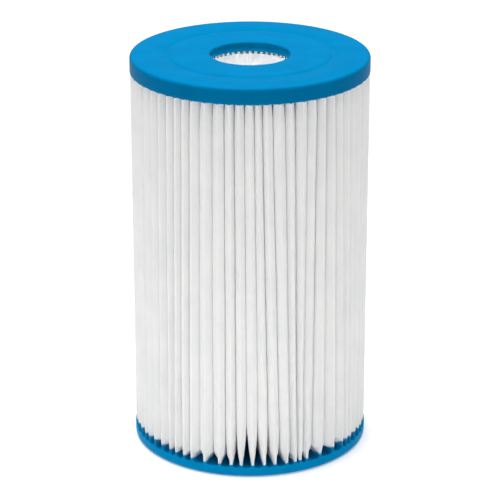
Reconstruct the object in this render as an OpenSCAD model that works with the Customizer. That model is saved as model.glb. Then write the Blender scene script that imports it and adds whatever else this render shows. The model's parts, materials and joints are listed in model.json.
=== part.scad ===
// Pleated filter cartridge: two cast end caps, a lattice core and a ring of folded filter cloth.
// +Z is the cartridge's axis. The origin is the centre of the bottom face.

/* [Overall size] */
// Outside diameter of both end caps
cartridge_d = 148; // [120:0.5:180]
// Height from the bottom face to the top face
cartridge_h = 252; // [150:1:320]
// Diameter of the bore through each end cap
bore_d = 49.2; // [40:0.1:60]

/* [End caps] */
// Thickness of the top end cap
top_cap_h = 10; // [8:0.5:16]
// Thickness of the bottom end cap
bottom_cap_h = 7; // [7:0.5:16]
// Length of the top cap's bore, from its face down to the core
top_bore_h = 6; // [4:0.5:6]
// Length of the bottom cap's bore, from its face up to the core
bottom_bore_h = 4; // [3:0.5:4.5]
// Height of the top cap's resin in the core's notches, from the cap's face
top_key_h = 6.5; // [6.5:0.5:7.5]
// Height of the bottom cap's resin in the core's notches, from the cap's face
bottom_key_h = 5; // [5:0.5:6]
// Width over which the resin between the pleats slopes down to the core's notches
sag_w = 6; // [1:0.5:12]
// Radius of the rounded outer edge of each cap
rim_round = 2; // [0.5:0.1:2.5]
// Radius of the rounded edge of each bore
bore_round = 1; // [0.3:0.1:1.5]
// Distance from the rim in to the middle of the moulded ring groove
groove_inset = 22.6; // [8:0.1:26]
// Width of the ring groove
groove_w = 4; // [1:0.5:6]
// Depth of the ring groove
groove_depth = 0.6; // [0.2:0.1:1]

/* [Core tube] */
// Wall thickness of the core tube
core_wall = 2; // [1:0.1:3]
// Step from the radius of the caps' bores out to the inside of the core
core_step = 0.4; // [0.2:0.1:1]
// Depth of the notches in each end of the core
notch_h = 1.5; // [1:0.5:4]
// Height of the plain collar between the notches and the windows at each end of the core
collar_h = 12; // [4:1:20]
// Number of windows round the core, and of notches round each end
window_columns = 44; // [24:1:48]
// Width of the upright ribs between the windows, at the inside of the core
rib_w = 1.6; // [1:0.1:2]
// Height of a window, before the rows are evened out over the core's length
window_h = 22; // [10:0.5:30]
// Height of the rings between the rows of windows
ring_h = 2.5; // [2:0.5:6]

/* [Pleated media] */
// Number of pleats in the ring
pleat_count = 66; // [40:1:68]
// Thickness of the filter cloth
media_t = 0.7; // [0.4:0.05:0.85]
// Open width between the two panels of a pleat, at its tip
pleat_slot = 0.4; // [0.2:0.05:0.6]
// Resin of the caps outside the pleat tips
tip_cover = 0.6; // [0.4:0.1:2]
// Resin of the caps beyond the ends of the pleats
end_cover = 3; // [2.5:0.5:4]
// Gap between the core and the inner folds
core_gap = 0.4; // [0.2:0.1:1.5]
// How far a pleat tip may stray to either side, as a share of the pitch between pleats
tip_stray = 0.22; // [0:0.01:0.25]

/* [Media seam] */
// Depth of the glue bead between the two ends of the strip
seam_depth = 12; // [4:1:16]

/* [Hidden] */
$fn = 180;
round_steps = 6;
groove_steps = 6;
tip_steps = 4;
fold_steps = 2;
through = 1;

cap_r = cartridge_d / 2;
bore_r = bore_d / 2;
core_ri = bore_r + core_step;
core_ro = core_ri + core_wall;
core_z0 = bottom_bore_h;
core_h = cartridge_h - top_bore_h - core_z0;
media_z0 = end_cover;
media_z1 = cartridge_h - end_cover;

// Pleats: a blade is one pleat's two panels, side by side. Blades are pleat_w thick, and the
// inner fold between two blades is fold_gap wide inside.
pitch = 360 / pleat_count;
pleat_w = 2 * media_t + pleat_slot;
media_ri = core_ro + core_gap;
media_ro = cap_r - tip_cover;
fold_gap = 2 * PI * media_ri / pleat_count - pleat_w;
tip_centre_r = media_ro - pleat_w / 2;
fold_centre_r = media_ri + media_t + fold_gap / 2;

// The seam is at the back, on +Y, at pleat 0.
seam_angle = 90;

// Core windows: rows between the two collars, in line with the notches at the ends
window_w = 2 * PI * core_ri / window_columns - rib_w;
windows_z0 = notch_h + collar_h;
window_span = core_h - 2 * windows_z0 + ring_h;
window_rows = floor(window_span / (window_h + ring_h));
row_step = window_span / window_rows;

cap_blue = "#0a8fcf";
core_white = "#e9ecee";
media_white = "#f3f4f4";
glue_white = "#e6e2d6";

// ---- Outlines ----

// A point at a radius, moved sideways, on the ray at an angle
function on_ray(angle, r, side = 0) =
    [r * cos(angle) - side * sin(angle), r * sin(angle) + side * cos(angle)];

// An arc as points, about a centre
function arc(centre, r, from, to, steps) =
    [for (k = [0:steps]) let (a = from + (to - from) * k / steps)
        centre + r * [cos(a), sin(a)]];

// Tips stray to either side like hand-folded cloth; the inner folds stay evenly spaced.
// Pleat 0 holds the seam, and is straight.
function stray(i) = i % pleat_count == 0 ? 0 : 0.6 * sin(137.5 * i) + 0.4 * sin(79 * i + 40);
function tip_angle(i) = seam_angle + pitch * (i + tip_stray * stray(i));
function fold_angle(i) = seam_angle + pitch * (i + 0.5);

// The fold at the tip of blade i, and the fold between blades i and i + 1, for one face of the
// cloth, which lies "inset" inside the strip's outer face.
function tip_fold(i, inset) =
    arc(on_ray(tip_angle(i), tip_centre_r), pleat_w / 2 - inset,
        tip_angle(i) - 90, tip_angle(i) + 90, inset == 0 ? tip_steps : fold_steps);
function inner_fold(i, inset) =
    arc(on_ray(fold_angle(i), fold_centre_r), fold_gap / 2 + inset,
        fold_angle(i) + 270, fold_angle(i) + 90, inset == 0 ? fold_steps : tip_steps);

// One face of the strip, from its free end on one side of the seam, round to the other
function strip_face(inset) = concat(
    [on_ray(seam_angle, tip_centre_r, pleat_w / 2 - inset)],
    inner_fold(0, inset),
    [for (i = [1:pleat_count - 1]) each concat(tip_fold(i, inset), inner_fold(i, inset))],
    [on_ray(seam_angle, tip_centre_r, inset - pleat_w / 2)]);

function reversed(points) = [for (k = [len(points) - 1:-1:0]) points[k]];

// The slot between the two panels at pleat 0 widens a little from its tip to its inner end.
slot_at_folds = 2 * (fold_centre_r * sin(pitch / 2) - (fold_gap / 2 + media_t) * cos(pitch / 2));
slot_length = tip_centre_r - fold_centre_r * cos(pitch / 2);
seam_slot = pleat_slot + (slot_at_folds - pleat_slot) * seam_depth / slot_length;

// The glue bead: a round head over the cut ends, and a tongue between the panels
function seam_outline() = concat(
    arc(on_ray(seam_angle, tip_centre_r), pleat_w / 2, seam_angle - 90, seam_angle + 90, 8),
    [on_ray(seam_angle, tip_centre_r, pleat_slot / 2),
     on_ray(seam_angle, tip_centre_r - seam_depth, seam_slot / 2),
     on_ray(seam_angle, tip_centre_r - seam_depth, -seam_slot / 2),
     on_ray(seam_angle, tip_centre_r, -pleat_slot / 2)]);

// Section of a cap, as radius and height above its own outer face
groove_r = cap_r - groove_inset;
groove_arc_r = (pow(groove_w / 2, 2) + pow(groove_depth, 2)) / (2 * groove_depth);
groove_half = asin(groove_w / 2 / groove_arc_r);

function cap_section(cap_h, bore_h, key_h) = concat(
    arc([bore_r + bore_round, bore_round], bore_round, 180, 270, round_steps),
    arc([groove_r, groove_depth - groove_arc_r], groove_arc_r,
        90 + groove_half, 90 - groove_half, groove_steps),
    arc([cap_r - rim_round, rim_round], rim_round, 270, 360, round_steps),
    [[cap_r, cap_h], [core_ro + sag_w, cap_h], [core_ro, key_h], [core_ri, key_h],
     [core_ri, bore_h], [bore_r, bore_h]]);

// ---- Shapes that the caps and the potted pieces share ----

module core_blank(h) {
    linear_extrude(h)
        difference() {
            circle(core_ro);
            circle(core_ri);
        }
}

module window_row(h) {
    linear_extrude(h)
        for (k = [0:window_columns - 1])
            rotate(seam_angle + (k + 0.5) * 360 / window_columns)
                translate([core_ri - through, -window_w / 2])
                    square([core_wall + 2 * through, window_w]);
}

module media_body() {
    translate([0, 0, media_z0])
        linear_extrude(media_z1 - media_z0)
            polygon(concat(strip_face(0), reversed(strip_face(media_t))));
}

module seam_body() {
    translate([0, 0, media_z0])
        linear_extrude(media_z1 - media_z0)
            polygon(seam_outline());
}

// A cap with its outer face at z = 0. The core's end stands in its resin, which fills the notches
// up to key_h.
module cap_body(cap_h, bore_h, key_h) {
    difference() {
        rotate_extrude()
            polygon(cap_section(cap_h, bore_h, key_h));
        difference() {
            translate([0, 0, bore_h])
                core_blank(cap_h - bore_h + through);
            translate([0, 0, bore_h - through])
                window_row(notch_h + through);
        }
    }
}

// ---- Pieces ----

module top_end_cap() {
    color(cap_blue)
        difference() {
            translate([0, 0, cartridge_h])
                mirror([0, 0, 1])
                    cap_body(top_cap_h, top_bore_h, top_key_h);
            media_body();
            seam_body();
        }
}

module bottom_end_cap() {
    color(cap_blue)
        difference() {
            cap_body(bottom_cap_h, bottom_bore_h, bottom_key_h);
            media_body();
            seam_body();
        }
}

module core_tube() {
    color(core_white)
        translate([0, 0, core_z0])
            difference() {
                core_blank(core_h);
                for (z = [-through, core_h - notch_h])
                    translate([0, 0, z])
                        window_row(notch_h + through);
                for (row = [0:window_rows - 1])
                    translate([0, 0, windows_z0 + row * row_step])
                        window_row(row_step - ring_h);
            }
}

module pleated_media() {
    color(media_white)
        media_body();
}

module media_seam() {
    color(glue_white)
        seam_body();
}

top_end_cap();
bottom_end_cap();
core_tube();
pleated_media();
media_seam();
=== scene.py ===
import json
import math
import random

import bpy
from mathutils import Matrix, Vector, noise


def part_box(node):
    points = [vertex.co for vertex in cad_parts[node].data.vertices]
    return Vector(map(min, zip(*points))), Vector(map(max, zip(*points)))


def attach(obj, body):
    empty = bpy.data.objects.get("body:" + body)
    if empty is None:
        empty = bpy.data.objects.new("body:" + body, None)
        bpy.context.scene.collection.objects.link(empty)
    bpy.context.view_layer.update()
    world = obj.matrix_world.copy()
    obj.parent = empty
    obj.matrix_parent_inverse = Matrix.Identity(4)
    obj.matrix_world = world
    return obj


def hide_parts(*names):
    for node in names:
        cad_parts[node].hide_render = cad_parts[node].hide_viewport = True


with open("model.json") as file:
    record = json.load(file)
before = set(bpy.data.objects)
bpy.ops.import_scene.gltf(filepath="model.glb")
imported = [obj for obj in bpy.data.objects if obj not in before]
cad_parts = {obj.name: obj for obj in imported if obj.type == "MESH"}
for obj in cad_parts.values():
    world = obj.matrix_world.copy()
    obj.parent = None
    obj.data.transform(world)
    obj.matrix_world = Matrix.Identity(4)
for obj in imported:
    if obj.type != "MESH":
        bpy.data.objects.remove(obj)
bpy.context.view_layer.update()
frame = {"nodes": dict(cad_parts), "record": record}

mm = 0.001


def lowHigh(node):
    low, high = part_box(node)
    return Vector(low), Vector(high)


def mix(a, b, share):
    return a + (b - a) * share


def clamp(x, low=0.0, high=1.0):
    return max(low, min(high, x))


def softMin(a, b, blend):
    # the smaller of two, with a rounded corner between them
    near = max(blend - abs(a - b), 0) / blend
    return min(a, b) - near * near * blend / 4


def addMesh(name, points, faces, material, smooth=True):
    mesh = bpy.data.meshes.new(name)
    mesh.from_pydata(points, [], faces)
    mesh.update()
    mesh.polygons.foreach_set("use_smooth", [smooth] * len(faces))
    piece = bpy.data.objects.new(name, mesh)
    bpy.context.scene.collection.objects.link(piece)
    piece.data.materials.append(material)
    return piece


def atAngle(angle, radius, z, side=0.0):
    return (radius * math.cos(angle) - side * math.sin(angle),
            radius * math.sin(angle) + side * math.cos(angle), z)


# sizes from the frame

topLow, topHigh = lowHigh("top_end_cap")
bottomLow, bottomHigh = lowHigh("bottom_end_cap")
mediaLow, mediaHigh = lowHigh("pleated_media")
coreLow, coreHigh = lowHigh("core_tube")
seamHigh = lowHigh("media_seam")[1]
boreRadius = frame["record"]["mounts"][0]["dims"]["r_mm"] * mm
capRadius = round((topHigh.x - topLow.x) / 2 / mm, 1) * mm
coreRadius = round((coreHigh.x - coreLow.x) / 2 / mm, 1) * mm
height = topHigh.z
tipRadius = seamHigh.y
print("sizes", round(capRadius, 4), round(boreRadius, 4), round(coreRadius, 4), round(tipRadius, 4))

cameraView = {
    "lens": 170.0,
    "sensor": 36.0,
    "distance": 1.493,
    "elevation": math.radians(21.1),
    "lookAtShare": 0.487,  # of the height
    "clip": (0.05, 50),
}


def makeCamera(view):
    data = bpy.data.cameras.new("camera")
    data.lens = view["lens"]
    data.sensor_width = view["sensor"]
    data.clip_start, data.clip_end = view["clip"]
    camera = bpy.data.objects.new("camera", data)
    bpy.context.scene.collection.objects.link(camera)
    target = Vector((0, 0, height * view["lookAtShare"]))
    away = Vector((0, -math.cos(view["elevation"]), math.sin(view["elevation"])))
    camera.location = target + away * view["distance"]
    camera.rotation_euler = (-away).to_track_quat("-Z", "Y").to_euler()
    bpy.context.scene.camera = camera


makeCamera(cameraView)
print("camera set")


def newMaterial(name):
    material = bpy.data.materials.new(name)
    material.use_nodes = True
    tree = material.node_tree
    return material, tree, tree.nodes["Principled BSDF"]


def addNode(tree, kind, inputs=None, **settings):
    node = tree.nodes.new(kind)
    for key, value in settings.items():
        setattr(node, key, value)
    for key, value in (inputs or {}).items():
        node.inputs[key].default_value = value
    return node


def objectNoise(tree, coordinates, scale, detail, stretch=(1, 1, 1), turn=(0, 0, 0), kind="FBM"):
    mapping = addNode(tree, "ShaderNodeMapping", {"Scale": stretch, "Rotation": turn})
    pattern = addNode(tree, "ShaderNodeTexNoise", {"Scale": scale, "Detail": detail, "Roughness": 0.6},
                      noise_type=kind)
    tree.links.new(coordinates.outputs["Object"], mapping.inputs["Vector"])
    tree.links.new(mapping.outputs["Vector"], pattern.inputs["Vector"])
    return pattern


def rampOf(tree, source, stops):
    ramp = addNode(tree, "ShaderNodeValToRGB")
    elements = ramp.color_ramp.elements
    while len(elements) < len(stops):
        elements.new(0.5)
    for element, (place, colour) in zip(elements, stops):
        element.position = place
        element.color = (*colour, 1)
    tree.links.new(source.outputs[0], ramp.inputs["Fac"])
    return ramp


def rangeOf(tree, source, low, high):
    spread = addNode(tree, "ShaderNodeMapRange", {"To Min": low, "To Max": high})
    tree.links.new(source.outputs[0], spread.inputs["Value"])
    return spread


def bumpOf(tree, source, distance, strength, before=None):
    bump = addNode(tree, "ShaderNodeBump", {"Distance": distance, "Strength": strength})
    tree.links.new(source.outputs[0], bump.inputs["Height"])
    if before:
        tree.links.new(before.outputs["Normal"], bump.inputs["Normal"])
    return bump


def joinShader(tree, shader, colour, rough, bump, constants):
    tree.links.new(colour, shader.inputs["Base Color"])
    tree.links.new(rough.outputs["Result"], shader.inputs["Roughness"])
    tree.links.new(bump.outputs["Normal"], shader.inputs["Normal"])
    for socket, value in constants.items():
        shader.inputs[socket].default_value = value


# in each of these, a bump is its depth and its strength, and "shader" is what the shader holds fixed

castResin = {
    "topDeep": (0.0, 0.155, 0.345),
    "topLight": (0.0, 0.172, 0.38),
    "bottomDeep": (0.0, 0.26, 0.56),  # painted light: the lower cap is a paler blue than the upper, standing in for the floor's bounce light on it
    "bottomLight": (0.0, 0.285, 0.61),
    "mottleScale": 60,
    "peelScale": 900,
    "grainScale": 5200,
    "roughness": (0.3, 0.44),
    "peelBump": (0.06 * mm, 0.5),
    "grainBump": (0.02 * mm, 0.35),
    "shader": {"Specular IOR Level": 0.01, "Specular Tint": (0.25, 0.7, 1, 1), "IOR": 1.48},
}


def makeCastResin(finish, end):
    # flexible resin, cast in an open mould: satin, a little uneven, with a fine orange peel
    material, tree, shader = newMaterial(end + "BlueResin")
    place = addNode(tree, "ShaderNodeTexCoord")
    mottle = objectNoise(tree, place, finish["mottleScale"], 4)
    peel = objectNoise(tree, place, finish["peelScale"], 2)
    grain = objectNoise(tree, place, finish["grainScale"], 2)
    # for the lower cap, the paler blues are painted light, standing in for the floor's bounce light on it
    colour = rampOf(tree, mottle, [(0.3, finish[end + "Deep"]), (0.7, finish[end + "Light"])])
    rough = rangeOf(tree, peel, *finish["roughness"])
    soft = bumpOf(tree, peel, *finish["peelBump"])
    fine = bumpOf(tree, grain, *finish["grainBump"], soft)
    joinShader(tree, shader, colour.outputs["Color"], rough, fine, finish["shader"])
    return material


filterCloth = {
    "shade": (0.87, 0.875, 0.88),
    "bright": (0.93, 0.93, 0.92),
    "cloudScale": 45,
    "fibreScale": 1500,
    "uprightStretch": (1, 1, 0.12),
    "uprightTurn": (0.2, 0.3, 0),
    "acrossStretch": (0.3, 0.3, 1),
    "acrossTurn": (0.5, -0.4, 0.7),
    "feltScale": 3600,
    "roughness": (0.78, 0.96),
    "uprightBump": (0.08 * mm, 0.45),
    "acrossBump": (0.08 * mm, 0.4),
    "feltBump": (0.04 * mm, 0.4),
    "soaked": (0.0, 0.23, 0.48),
    "soakedUp": 0.6 * mm,     # above the lower cap, where resin has soaked into the cloth
    "soakedSides": 3.4 * mm,  # and as much more towards the sides
    "sidesFrom": 0.022,       # metres to either side of the middle
    "sidesTo": 0.058,
    "soakedDown": 0.8 * mm,   # below the upper cap
    "soakFade": 1.4 * mm,     # the height over which the blue fades
    "soakUneven": 1.6 * mm,   # how far its edge wanders, up or down
    "soakScale": 260,
    "shader": {
        "Specular IOR Level": 0.2,
        "Sheen Weight": 0.15,
        "Sheen Roughness": 0.5,
        "Subsurface Weight": 0.5,
        "Subsurface Radius": (1, 1, 1),
        "Subsurface Scale": 0.001,
    },
}


def mathOf(tree, operation, first, second):
    result = addNode(tree, "ShaderNodeMath", operation=operation)
    tree.links.new(first, result.inputs[0])
    tree.links.new(second, result.inputs[1])
    return result


def soakCloth(tree, place, colour, finish):
    # blue where resin has soaked in, next to each cap, up to a ragged edge
    split = addNode(tree, "ShaderNodeSeparateXYZ")
    tree.links.new(place.outputs["Object"], split.inputs["Vector"])
    edge = objectNoise(tree, place, finish["soakScale"], 3)
    uneven = rangeOf(tree, edge, -finish["soakUneven"], finish["soakUneven"])
    level = mathOf(tree, "ADD", uneven.outputs["Result"], split.outputs["Z"])
    aside = addNode(tree, "ShaderNodeMath", operation="ABSOLUTE")
    tree.links.new(split.outputs["X"], aside.inputs[0])
    sides = {"From Min": finish["sidesFrom"], "From Max": finish["sidesTo"], "To Max": finish["soakedSides"]}
    lift = addNode(tree, "ShaderNodeMapRange", sides)
    tree.links.new(aside.outputs[0], lift.inputs["Value"])
    lowered = mathOf(tree, "SUBTRACT", level.outputs[0], lift.outputs["Result"])
    lowEdge = bottomHigh.z + finish["soakedUp"]
    highEdge = topLow.z - finish["soakedDown"]
    fade = finish["soakFade"]
    for start, end, source in ((lowEdge, lowEdge - fade, lowered), (highEdge, highEdge + fade, level)):
        soak = addNode(tree, "ShaderNodeMapRange", {"From Min": start, "From Max": end})
        stain = addNode(tree, "ShaderNodeMix", data_type="RGBA")
        stain.inputs["B"].default_value = (*finish["soaked"], 1)
        tree.links.new(source.outputs[0], soak.inputs["Value"])
        tree.links.new(soak.outputs["Result"], stain.inputs["Factor"])
        tree.links.new(colour, stain.inputs["A"])
        colour = stain.outputs["Result"]
    return colour


def makeFilterCloth(finish):
    # spunbond polyester: long fibres pressed flat at random, cloudy where they lie thicker
    material, tree, shader = newMaterial("spunbondCloth")
    place = addNode(tree, "ShaderNodeTexCoord")
    cloud = objectNoise(tree, place, finish["cloudScale"], 6)
    upright = objectNoise(tree, place, finish["fibreScale"], 3, finish["uprightStretch"],
                          finish["uprightTurn"], "RIDGED_MULTIFRACTAL")
    across = objectNoise(tree, place, finish["fibreScale"], 3, finish["acrossStretch"],
                         finish["acrossTurn"], "RIDGED_MULTIFRACTAL")
    felt = objectNoise(tree, place, finish["feltScale"], 3)
    clouded = rampOf(tree, cloud, [(0.3, finish["shade"]), (0.65, finish["bright"])])
    colour = soakCloth(tree, place, clouded.outputs["Color"], finish)
    rough = rangeOf(tree, felt, *finish["roughness"])
    first = bumpOf(tree, upright, *finish["uprightBump"])
    second = bumpOf(tree, across, *finish["acrossBump"], first)
    third = bumpOf(tree, felt, *finish["feltBump"], second)
    joinShader(tree, shader, colour, rough, third, finish["shader"])
    return material


corePlastic = {
    "shade": (0.87, 0.88, 0.88),
    "bright": (0.93, 0.935, 0.935),
    "flowScale": 90,
    "flowStretch": (1, 1, 0.3),
    "grainScale": 4200,
    "roughness": (0.35, 0.5),
    "grainBump": (0.02 * mm, 0.4),
    "shader": {"Specular IOR Level": 0.4},
}


def makeCorePlastic(finish):
    material, tree, shader = newMaterial("mouldedWhitePlastic")
    place = addNode(tree, "ShaderNodeTexCoord")
    flow = objectNoise(tree, place, finish["flowScale"], 3, finish["flowStretch"])
    grain = objectNoise(tree, place, finish["grainScale"], 2)
    colour = rampOf(tree, flow, [(0.3, finish["shade"]), (0.7, finish["bright"])])
    rough = rangeOf(tree, flow, *finish["roughness"])
    bump = bumpOf(tree, grain, *finish["grainBump"])
    joinShader(tree, shader, colour.outputs["Color"], rough, bump, finish["shader"])
    return material


setGlue = {
    "shade": (0.72, 0.68, 0.56),
    "bright": (0.84, 0.81, 0.7),
    "ropeScale": 130,
    "ropeStretch": (1, 1, 0.5),
    "roughness": (0.25, 0.45),
    "ropeBump": (0.3 * mm, 0.6),
    "shader": {"Subsurface Weight": 0.3, "Subsurface Scale": 0.002},
}


def makeSetGlue(finish):
    # hot-melt glue, set in ropey swells along the seam
    material, tree, shader = newMaterial("setHotMeltGlue")
    place = addNode(tree, "ShaderNodeTexCoord")
    rope = objectNoise(tree, place, finish["ropeScale"], 3, finish["ropeStretch"])
    colour = rampOf(tree, rope, [(0.3, finish["shade"]), (0.7, finish["bright"])])
    rough = rangeOf(tree, rope, *finish["roughness"])
    bump = bumpOf(tree, rope, *finish["ropeBump"])
    joinShader(tree, shader, colour.outputs["Color"], rough, bump, finish["shader"])
    return material


# two copies of one resin: the lower cap's copy is painted lighter, standing in for the floor's bounce light
blueResins = {end: makeCastResin(castResin, end) for end in ("top", "bottom")}
whiteCloth = makeFilterCloth(filterCloth)
whitePlastic = makeCorePlastic(corePlastic)
paleGlue = makeSetGlue(setGlue)
print("materials made")

# where the pleats run
pleats = {
    "count": 66,
    "seamAngle": math.pi / 2,
    "frontAngle": -math.pi / 2,
    "stray": 0.17,       # of the pitch, each way, at the tips
    "drift": 0.07,       # of the pitch, between the top and the bottom of one tip
    # degrees from the front, reach in degrees, and lean to the right from top to bottom in pitches
    "leans": [(-40, 20, -0.35), (13, 13, 1.05), (52, 16, 0.4)],
    # degrees from the front, reach in degrees, and push at the top and at the bottom in pitches
    "wideGaps": [(-18, 9, 0.35, 0.6), (28, 9, 0.55, 0.1), (40, 11, 0.3, 1.5)],
    "closest": 0.46,     # of the pitch, between two tips
    "passes": 60,        # of pushing crowded tips apart
    "swing": 1.2,        # how a stray grows from the inner fold out to the tip, as a power
    "cloth": 0.7 * mm,
    "slot": 0.4 * mm,
    "coreGap": 0.4 * mm,  # the inner folds stand this far off the core
    "seed": 7,
}
pitch = 2 * math.pi / pleats["count"]
pleatHalf = pleats["cloth"] + pleats["slot"] / 2
foldRadius = coreRadius + pleats["coreGap"]
pleatLength = tipRadius - foldRadius


def fromFront(i):
    return math.degrees(math.remainder(pleats["seamAngle"] + pitch * i - pleats["frontAngle"], 2 * math.pi))


def keepApart(offsets, plan):
    # push crowded neighbours apart, but never pleat 0, which is glued
    count = len(offsets)
    for _ in range(plan["passes"]):
        for i in range(count):
            after = (i + 1) % count
            short = plan["closest"] - (1 + offsets[after] - offsets[i])
            if short > 0:
                offsets[i] -= short / 2 if i else 0
                offsets[after] += short / 2 if after else 0
    return offsets


def planPleats(plan):
    # for each pleat, how far its tip strays at the top and at the bottom, in pitches
    draw = random.Random(plan["seed"])
    tops, bottoms = [], []
    for i in range(plan["count"]):
        place = fromFront(i)
        top = bottom = draw.uniform(-1, 1) * plan["stray"]
        drift = draw.uniform(-1, 1) * plan["drift"]
        lean = 0
        for centre, reach, amount in plan["leans"]:
            lean += amount * math.exp(-((place - centre) / reach) ** 2)
        for centre, reach, topPush, bottomPush in plan["wideGaps"]:
            off = (place - centre) / reach
            top += topPush * off * math.exp(-off * off)
            bottom += bottomPush * off * math.exp(-off * off)
        tops.append(top + drift - lean / 2)
        bottoms.append(bottom - drift + lean / 2)
    tops[0] = bottoms[0] = 0
    return keepApart(tops, plan), keepApart(bottoms, plan)


topStray, bottomStray = planPleats(pleats)


def restAngle(i):
    return pleats["seamAngle"] + pitch * i


def centreAngle(i, radius, z):
    # the angle of pleat i's middle, which swings from its inner fold out to its tip
    k = i % pleats["count"]
    stray = mix(bottomStray[k], topStray[k], clamp(z / height))
    out = clamp((radius - foldRadius) / pleatLength)
    return restAngle(i) + pitch * stray * out ** pleats["swing"]


print("pleats planned")

media = {
    "lowRows": (1.0 * mm, 1.18),  # the first step up from the lower cap, and how the steps grow
    "highRows": (1.6 * mm, 1.26),  # the same, down from the upper cap
    "depths": [0.12, 0.4, 1.0, 1.7, 2.5, 3.6, 8, 22],  # in from the tip, in mm
    "crease": 0.3 * mm,      # the depth at which a pleat starts to widen in from its tip
    "flare": 3.0 * mm,       # the depth over which it widens until it meets the next pleat
    "flareSpread": 0.8 * mm,
    "proud": 0.45 * mm,      # how far the tips swell out between the caps
    "setBack": 0.25 * mm,    # the most that a tip stands back from that
    "tipWaves": 9,           # in how far back it stands, to a metre
    "notch": 6.4 * mm,       # the height of the round notch that the lower cap holds open between pleats
    "notchSpread": 1.6 * mm,
    "split": 36 * mm,        # the height of the taller gaps at the front, which close to a point
    "splitSpread": 6 * mm,
    "splitCurve": 1.6,       # how these close upwards, as a power
    "frontReach": 17,        # degrees
    "frontNotch": 0.7,       # how much of the round notch is left at the front
    "closeAtTop": 20 * mm,   # the height over which pleats draw in under the upper cap
    "closeCurve": 1.7,       # how they draw in, as a power
    "openAtTop": 0.68,       # how open they still are at the cap
    "round": 0.15 * mm,      # how round the cloth turns in where two pleats meet
    "press": 1.14,           # how hard neighbours press on each other
    "clearance": 0.02 * mm,
    "wobble": 0.3 * mm,      # how far the walls between pleats wander
    "wobbleWaves": (3, 14, 30),  # from pleat to pleat, upwards and inwards
    "glued": 13 * mm,        # the depth of pleat 0 that its glue holds flat
    "gluedFade": 12 * mm,    # and the depth over which it then opens
    "foldStart": 0.9 * mm,   # a pleat's sides end this far out from its inner folds
    "seed": 19,
}


def planTips(plan):
    draw = random.Random(plan["seed"])
    flares, backs, phases, gaps = [], [], [], []
    for i in range(pleats["count"]):
        flares.append({hand: plan["flare"] + draw.uniform(-1, 1) * plan["flareSpread"] for hand in (-1, 1)})
        backs.append(draw.random() ** 2 * plan["setBack"])
        phases.append(draw.uniform(0, 100))
        front = math.exp(-(fromFront(i + 0.5) / plan["frontReach"]) ** 2)
        notch = plan["notch"] + draw.uniform(-1, 1) * plan["notchSpread"]
        split = plan["split"] + draw.uniform(-1, 1) * plan["splitSpread"]
        gaps.append((notch, split, front))
    backs[0] = 0
    return flares, backs, phases, gaps


flares, backs, phases, gaps = planTips(media)


def billow(z, gap=(media["notch"], media["split"], 0)):
    # 0 where a cap pinches the pleats together, 1 where they stand open
    notch, split, front = gap
    up = z - bottomHigh.z
    down = clamp((topLow.z - z) / media["closeAtTop"])
    inNotch = 1 - clamp(up / notch) ** 2
    inSplit = (1 - clamp(up / split)) ** media["splitCurve"]
    above = mix(media["openAtTop"], 1, 1 - (1 - down) ** media["closeCurve"])
    return (1 - mix(inNotch, max(inSplit, inNotch * media["frontNotch"]), front)) * above


def tipAt(i, z):
    # tips swell out a little between the caps, some less than others
    k = i % pleats["count"]
    wave = 0.5 + 0.5 * noise.noise(Vector((phases[k], z * media["tipWaves"], 0)))
    swell = 0 if k == 0 else media["proud"] - backs[k] * wave
    return tipRadius - pleats["cloth"] / 2 + swell * billow(z)


def sharedWall(i, radius, z):
    # the angle of the wall where pleats i and i + 1 meet
    k = i % pleats["count"]
    middle = (centreAngle(i, radius, z) + centreAngle(i + 1, radius, z)) / 2
    across, upwards, inwards = media["wobbleWaves"]
    wave = noise.noise(Vector((phases[k] * across, z * upwards, radius * inwards)))
    return middle + media["wobble"] * wave * billow(z) / radius


def panelPoint(i, hand, depth, z):
    # a point in the middle of the cloth's thickness, on one side of pleat i
    k = i % pleats["count"]
    gap = i if hand > 0 else i - 1
    radius = tipAt(i, z) - depth
    centre = centreAngle(i, radius, z)
    wall = sharedWall(gap, radius, z)
    room = abs(wall - centre) * radius - pleats["cloth"] / 2 - media["clearance"]
    narrow = pleatHalf - pleats["cloth"] / 2
    if depth < narrow:
        pinched = math.sqrt(max(narrow ** 2 - (narrow - depth) ** 2, 0))
    else:
        pinched = narrow
    spread = clamp((depth - media["crease"]) / flares[k][hand])
    belly = pinched + max(room * media["press"] - pinched, 0) * spread
    swell = billow(z, gaps[gap % pleats["count"]])
    if k == 0:
        swell *= clamp((depth - media["glued"]) / media["gluedFade"])
    side = softMin(mix(pinched, belly, swell), room, media["round"])
    return atAngle(centre, radius, z, hand * side)


def foldPoint(i, z):
    radius = foldRadius + pleats["cloth"] / 2
    return atAngle(sharedWall(i, radius, z), radius, z)


def clothRows(plan):
    # closer together near the caps, where the pleats change fastest
    step, growth = plan["lowRows"]
    low = [mediaLow.z, bottomHigh.z]
    while low[-1] + step < height / 2:
        low.append(low[-1] + step)
        step *= growth
    step, growth = plan["highRows"]
    high = [mediaHigh.z, topLow.z]
    while high[-1] - step > low[-1] + step / 2:
        high.append(high[-1] - step)
        step *= growth
    return low + high[::-1]


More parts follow.
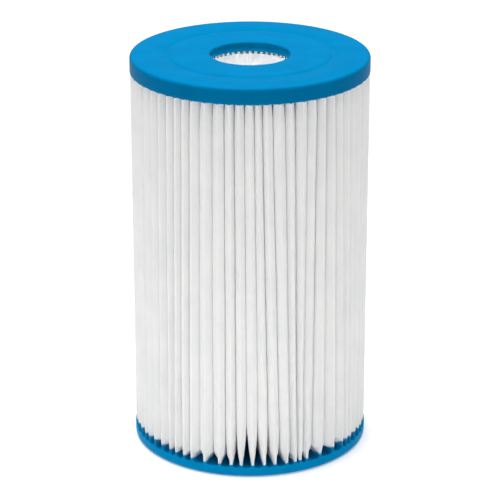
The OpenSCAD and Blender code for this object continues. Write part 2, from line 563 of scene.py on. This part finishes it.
def makeMedia(plan):
    depths = [d * mm for d in plan["depths"]]
    inner = depths + [pleatLength - plan["foldStart"]]
    columns = []
    last = pleats["count"]
    for i in range(last + 1):
        free = i in (0, last)  # the strip's two free ends
        side = [d for d in inner if d > pleatHalf] if free else inner
        if i > 0:
            columns += [(i, -1, d) for d in reversed(side)]
            if free:
                columns.append((i, -1, pleatHalf))
        if not free:
            columns.append((i, 0, 0))
        if i < last:
            if free:
                columns.append((i, 1, pleatHalf))
            columns += [(i, 1, d) for d in side]
            columns.append((i, "fold", 0))
    rows = clothRows(plan)
    points = []
    for z in rows:
        for i, hand, depth in columns:
            if hand == "fold":
                points.append(foldPoint(i, z))
            elif hand == 0:
                points.append(atAngle(centreAngle(i, tipAt(i, z), z), tipAt(i, z), z))
            else:
                points.append(panelPoint(i, hand, depth, z))
    wide = len(columns)
    faces = [(j * wide + c, j * wide + c + 1, (j + 1) * wide + c + 1, (j + 1) * wide + c)
             for j in range(len(rows) - 1) for c in range(wide - 1)]
    piece = addMesh("pleatedCloth", points, faces, whiteCloth)
    thick = piece.modifiers.new("thickness", "SOLIDIFY")
    thick.thickness = pleats["cloth"]
    thick.offset = 0
    thick.use_rim = True
    middle = (len(rows) // 2) * wide
    length = sum((Vector(points[middle + c + 1]) - Vector(points[middle + c])).length
                 for c in range(wide - 1))
    return piece, length


cloth, stripLength = makeMedia(media)
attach(cloth, "root")
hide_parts("pleated_media")
print("cloth folded, strip", round(stripLength, 3), "m,", len(cloth.data.vertices), "points")

caps = {
    "rimRound": 2.0 * mm,
    "boreRound": 1.0 * mm,
    "grooveRadius": capRadius - 22.6 * mm,
    "grooveWidth": 4.0 * mm,
    "grooveDepth": 0.6 * mm,
    "boreSteps": 6,
    "rimSteps": 8,
    "edgeBreak": 0.2 * mm,
    "rimBand": 1.6 * mm,  # the height of the last ring of faces on the rim
    # how high the resin climbs a tip, and how high between tips
    "climb": {"top": (0.4 * mm, 1.0 * mm), "bottom": (1.7 * mm, 2.6 * mm)},
    "climbReach": 2.0 * mm,
    "climbDepth": 2.5 * mm,  # from a tip in to where it climbs as high as between tips
    "pastTips": 0.45,  # distance out past a tip counts for this much
    "leastHalf": 0.15 * mm,  # of a pleat's width, at its tip
    "keyInset": 0.05 * mm,  # the resin in the core's notches stands this far back from its bore
    "keyLevel": {"top": 6.5 * mm, "bottom": 5.0 * mm},
    "dip": {"top": 0, "bottom": 1.1 * mm},  # how far the rim's edge dips between two pleats
    "sink": {"top": 0.6 * mm, "bottom": 2.2 * mm},  # and how far the resin lies below it further in
    "sinkReach": 1.0 * mm,
    "sag": 6.0 * mm,  # the resin sinks towards the core over this width
    "coreStep": 0.4 * mm,
    "fillets": [0.12, 0.35, 0.7, 1.15],  # mm out from a pleat's side
    "shares": [0.1, 0.28, 0.52, 0.78],  # and the most of the way to the next pleat
    "ringsOut": [-0.1, 1.2, 4],  # mm out from the inner folds
    "ringsEven": (8 * mm, 6 * mm, 6),  # from the folds, from the tips, and how many
    "ringsIn": [3.5, 1.8, 0.9, 0.45, 0.15, -0.1],  # mm in from the tips
}


def arcPoints(centre, radius, start, end, steps):
    turn = [math.radians(mix(start, end, k / steps)) for k in range(steps + 1)]
    return [(centre[0] + radius * math.cos(a), centre[1] + radius * math.sin(a)) for a in turn]


def outsideSection(plan, boreLength):
    # radius and height above the cap's own outer face, from the core's seat round to the rim
    inner = boreRadius + plan["coreStep"] + plan["keyInset"]
    half, deep = plan["grooveWidth"] / 2, plan["grooveDepth"]
    curve = (half ** 2 + deep ** 2) / (2 * deep)
    swing = math.degrees(math.asin(half / curve))
    groove, boreRound, rimRound = plan["grooveRadius"], plan["boreRound"], plan["rimRound"]
    # each flat stretch gets a point or two part of the way along
    section = [(inner, boreLength), (boreRadius, boreLength), (boreRadius, boreLength * 0.6)]
    section += arcPoints((boreRadius + boreRound, boreRound), boreRound, 180, 270, plan["boreSteps"])
    section += [(mix(boreRadius, groove, share), 0) for share in (0.4, 0.8)]
    section += arcPoints((groove, deep - curve), curve, 90 + swing, 90 - swing, plan["rimSteps"])
    section += [(mix(groove, capRadius, 0.5), 0)]
    section += arcPoints((capRadius - rimRound, rimRound), rimRound, 270, 360, plan["rimSteps"])
    return section


def makeCap(name, end, plan, faceZ, direction, thickness, boreLength):
    middle = faceZ + direction * thickness
    atTips, between = plan["climb"][end]
    dip, sink = plan["dip"][end], plan["sink"][end]
    keyLevel = plan["keyLevel"][end]
    count = pleats["count"]
    section = outsideSection(plan, boreLength)
    offFolds, offTips, evenCount = plan["ringsEven"]
    radii = [foldRadius + d * mm for d in plan["ringsOut"]]
    radii += [mix(foldRadius + offFolds, tipRadius - offTips, k / (evenCount - 1)) for k in range(evenCount)]
    radii += [tipRadius - d * mm for d in plan["ringsIn"]]
    radii += [capRadius - plan["edgeBreak"]]

    def columnAngles(radius):
        angles, climbs = [], []
        for i in range(count):
            centre = centreAngle(i, min(radius, tipRadius), middle)
            depth = tipRadius - radius
            if depth < pleatHalf:
                half = math.sqrt(max(pleatHalf ** 2 - (pleatHalf - max(depth, 0)) ** 2, 0))
                half = max(half, plan["leastHalf"])
            else:
                half = pleatHalf
            past = plan["pastTips"] * max(-depth, 0)
            climb = mix(atTips, between, clamp(depth / plan["climbDepth"]))
            before = (centreAngle(i - 1, min(radius, tipRadius), middle) + centre) / 2
            after = (centreAngle(i + 1, min(radius, tipRadius), middle) + centre) / 2
            for hand, limit in ((-1, before), (1, after)):
                room = abs(limit - centre) * radius - half
                steps = [0] + [min(d * mm, s * room) for d, s in zip(plan["fillets"], plan["shares"])]
                sides = [(centre + hand * (half + d) / radius, math.hypot(d, past)) for d in steps]
                if hand < 0:
                    sides = [(limit, math.hypot(room, past))] + sides[::-1]
                for angle, away in sides:
                    angles.append(angle)
                    climbs.append(climb * max(1 - away / plan["climbReach"], 0) ** 2)
                if hand < 0:
                    angles.append(centre)
                    climbs.append(climb * max(1 - past / plan["climbReach"], 0) ** 2)
        return angles, climbs

    rings = []
    rimAngles, rimClimbs = columnAngles(capRadius)
    for radius, level in section:
        rings.append([(a, radius, level) for a in rimAngles])
    rings.append([(a, capRadius, thickness - plan["rimBand"]) for a in rimAngles])
    rimEdge = thickness - plan["edgeBreak"] - dip
    rings.append([(a, capRadius, rimEdge + c) for a, c in zip(rimAngles, rimClimbs)])
    for radius in reversed(radii):
        angles, climbs = columnAngles(radius)
        level = mix(keyLevel, thickness, clamp((radius - coreRadius) / plan["sag"]))
        inward = clamp((tipRadius - radius) / plan["sinkReach"])
        level -= mix(dip, sink, inward) * clamp((radius - coreRadius) / plan["sag"])
        rings.append([(a, radius, level + c) for a, c in zip(angles, climbs)])
    insideAngles = columnAngles(coreRadius)[0]
    for radius in (coreRadius, section[0][0]):
        rings.append([(a, radius, keyLevel) for a in insideAngles])
    points = [atAngle(a, r, faceZ + direction * level) for ring in rings for a, r, level in ring]
    wide, high = len(rimAngles), len(rings)
    faces = []
    for j in range(high):
        here, there = j * wide, ((j + 1) % high) * wide
        for c in range(wide):
            after = (c + 1) % wide
            corner = (here + c, here + after, there + after, there + c)
            faces.append(corner if direction < 0 else corner[::-1])
    return addMesh(name, points, faces, blueResins[end])


bottomCap = makeCap("bottomEndCap", "bottom", caps, bottomLow.z, 1, bottomHigh.z - bottomLow.z, coreLow.z)
topCap = makeCap("topEndCap", "top", caps, topHigh.z, -1, topHigh.z - topLow.z, topHigh.z - coreHigh.z)
for cap, node in ((bottomCap, "bottom_end_cap"), (topCap, "top_end_cap")):
    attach(cap, "root")
    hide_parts(node)
print("caps cast,", len(topCap.data.vertices), "points each")


def finishNode(node, material):
    # the core and the seam keep their CAD shapes
    part = frame["nodes"][node]
    part.data.materials.clear()
    part.data.materials.append(material)


finishNode("core_tube", whitePlastic)
finishNode("media_seam", paleGlue)
print("core and seam finished")

studio = {
    "floorSize": 12.0,
    "floorLevel": -0.2 * mm,
    "floorWhite": (0.9, 0.9, 0.9),
    "floorRoughness": 0.9,
    "floorSpecular": 0.1,
    "floorGlow": 0.27,
    "world": 0.18,
    "lights": [
        # name, place, size, power
        ("overhead", (-0.06, 0.1, 1.6), 1.0, 34),
        ("frontLeft", (-1.3, -1.2, 0.3), 1.2, 2.6),
        ("frontRight", (1.4, -1.1, 0.3), 1.2, 2.4),
    ],
    # a pool of light on the floor in front, which lights the lower half from below
    "poolFrom": (-0.05, -0.3, 1.4),
    "poolAt": (-0.05, -0.3, 0),
    "poolAngle": math.radians(20),
    "poolPower": 40,
    "poolBlend": 0.9,
    "poolSoftness": 0.1,
    # what the cloth lets through into the core
    "insideHeight": 0.17,
    "insideRadius": 0.012,
    "insidePower": 0.1,
}


def addLamp(name, kind, place, target, power, **settings):
    data = bpy.data.lights.new(name, kind)
    data.energy = power
    for key, value in settings.items():
        setattr(data, key, value)
    lamp = bpy.data.objects.new(name, data)
    lamp.location = place
    lamp.rotation_euler = (Vector(target) - Vector(place)).to_track_quat("-Z", "Y").to_euler()
    lamp.visible_camera = False
    bpy.context.scene.collection.objects.link(lamp)


def makeStudio(plan):
    size, level = plan["floorSize"], plan["floorLevel"]
    corners = [(x * size, y * size, level) for x, y in ((-1, -1), (1, -1), (1, 1), (-1, 1))]
    material, tree, shader = newMaterial("paleFloor")
    shader.inputs["Base Color"].default_value = (*plan["floorWhite"], 1)
    shader.inputs["Roughness"].default_value = plan["floorRoughness"]
    shader.inputs["Specular IOR Level"].default_value = plan["floorSpecular"]
    shader.inputs["Emission Color"].default_value = (1, 1, 1, 1)
    shader.inputs["Emission Strength"].default_value = plan["floorGlow"]
    floor = addMesh("floor", corners, [(0, 1, 2, 3)], material, smooth=False)
    world = bpy.data.worlds.new("studioWorld")
    bpy.context.scene.world = world
    world.use_nodes = True
    background = world.node_tree.nodes["Background"]
    background.inputs["Color"].default_value = (1, 1, 1, 1)
    background.inputs["Strength"].default_value = plan["world"]
    for name, place, across, power in plan["lights"]:
        addLamp(name, "AREA", place, (0, 0, height / 2), power, shape="DISK", size=across)
    addLamp("floorPool", "SPOT", plan["poolFrom"], plan["poolAt"], plan["poolPower"],
            spot_size=plan["poolAngle"], spot_blend=plan["poolBlend"], shadow_soft_size=plan["poolSoftness"])
    addLamp("inside", "POINT", (0, 0, plan["insideHeight"]), (0, 0, height), plan["insidePower"],
            shadow_soft_size=plan["insideRadius"])


makeStudio(studio)
bpy.context.scene.view_settings.view_transform = "Standard"
print("studio lit")
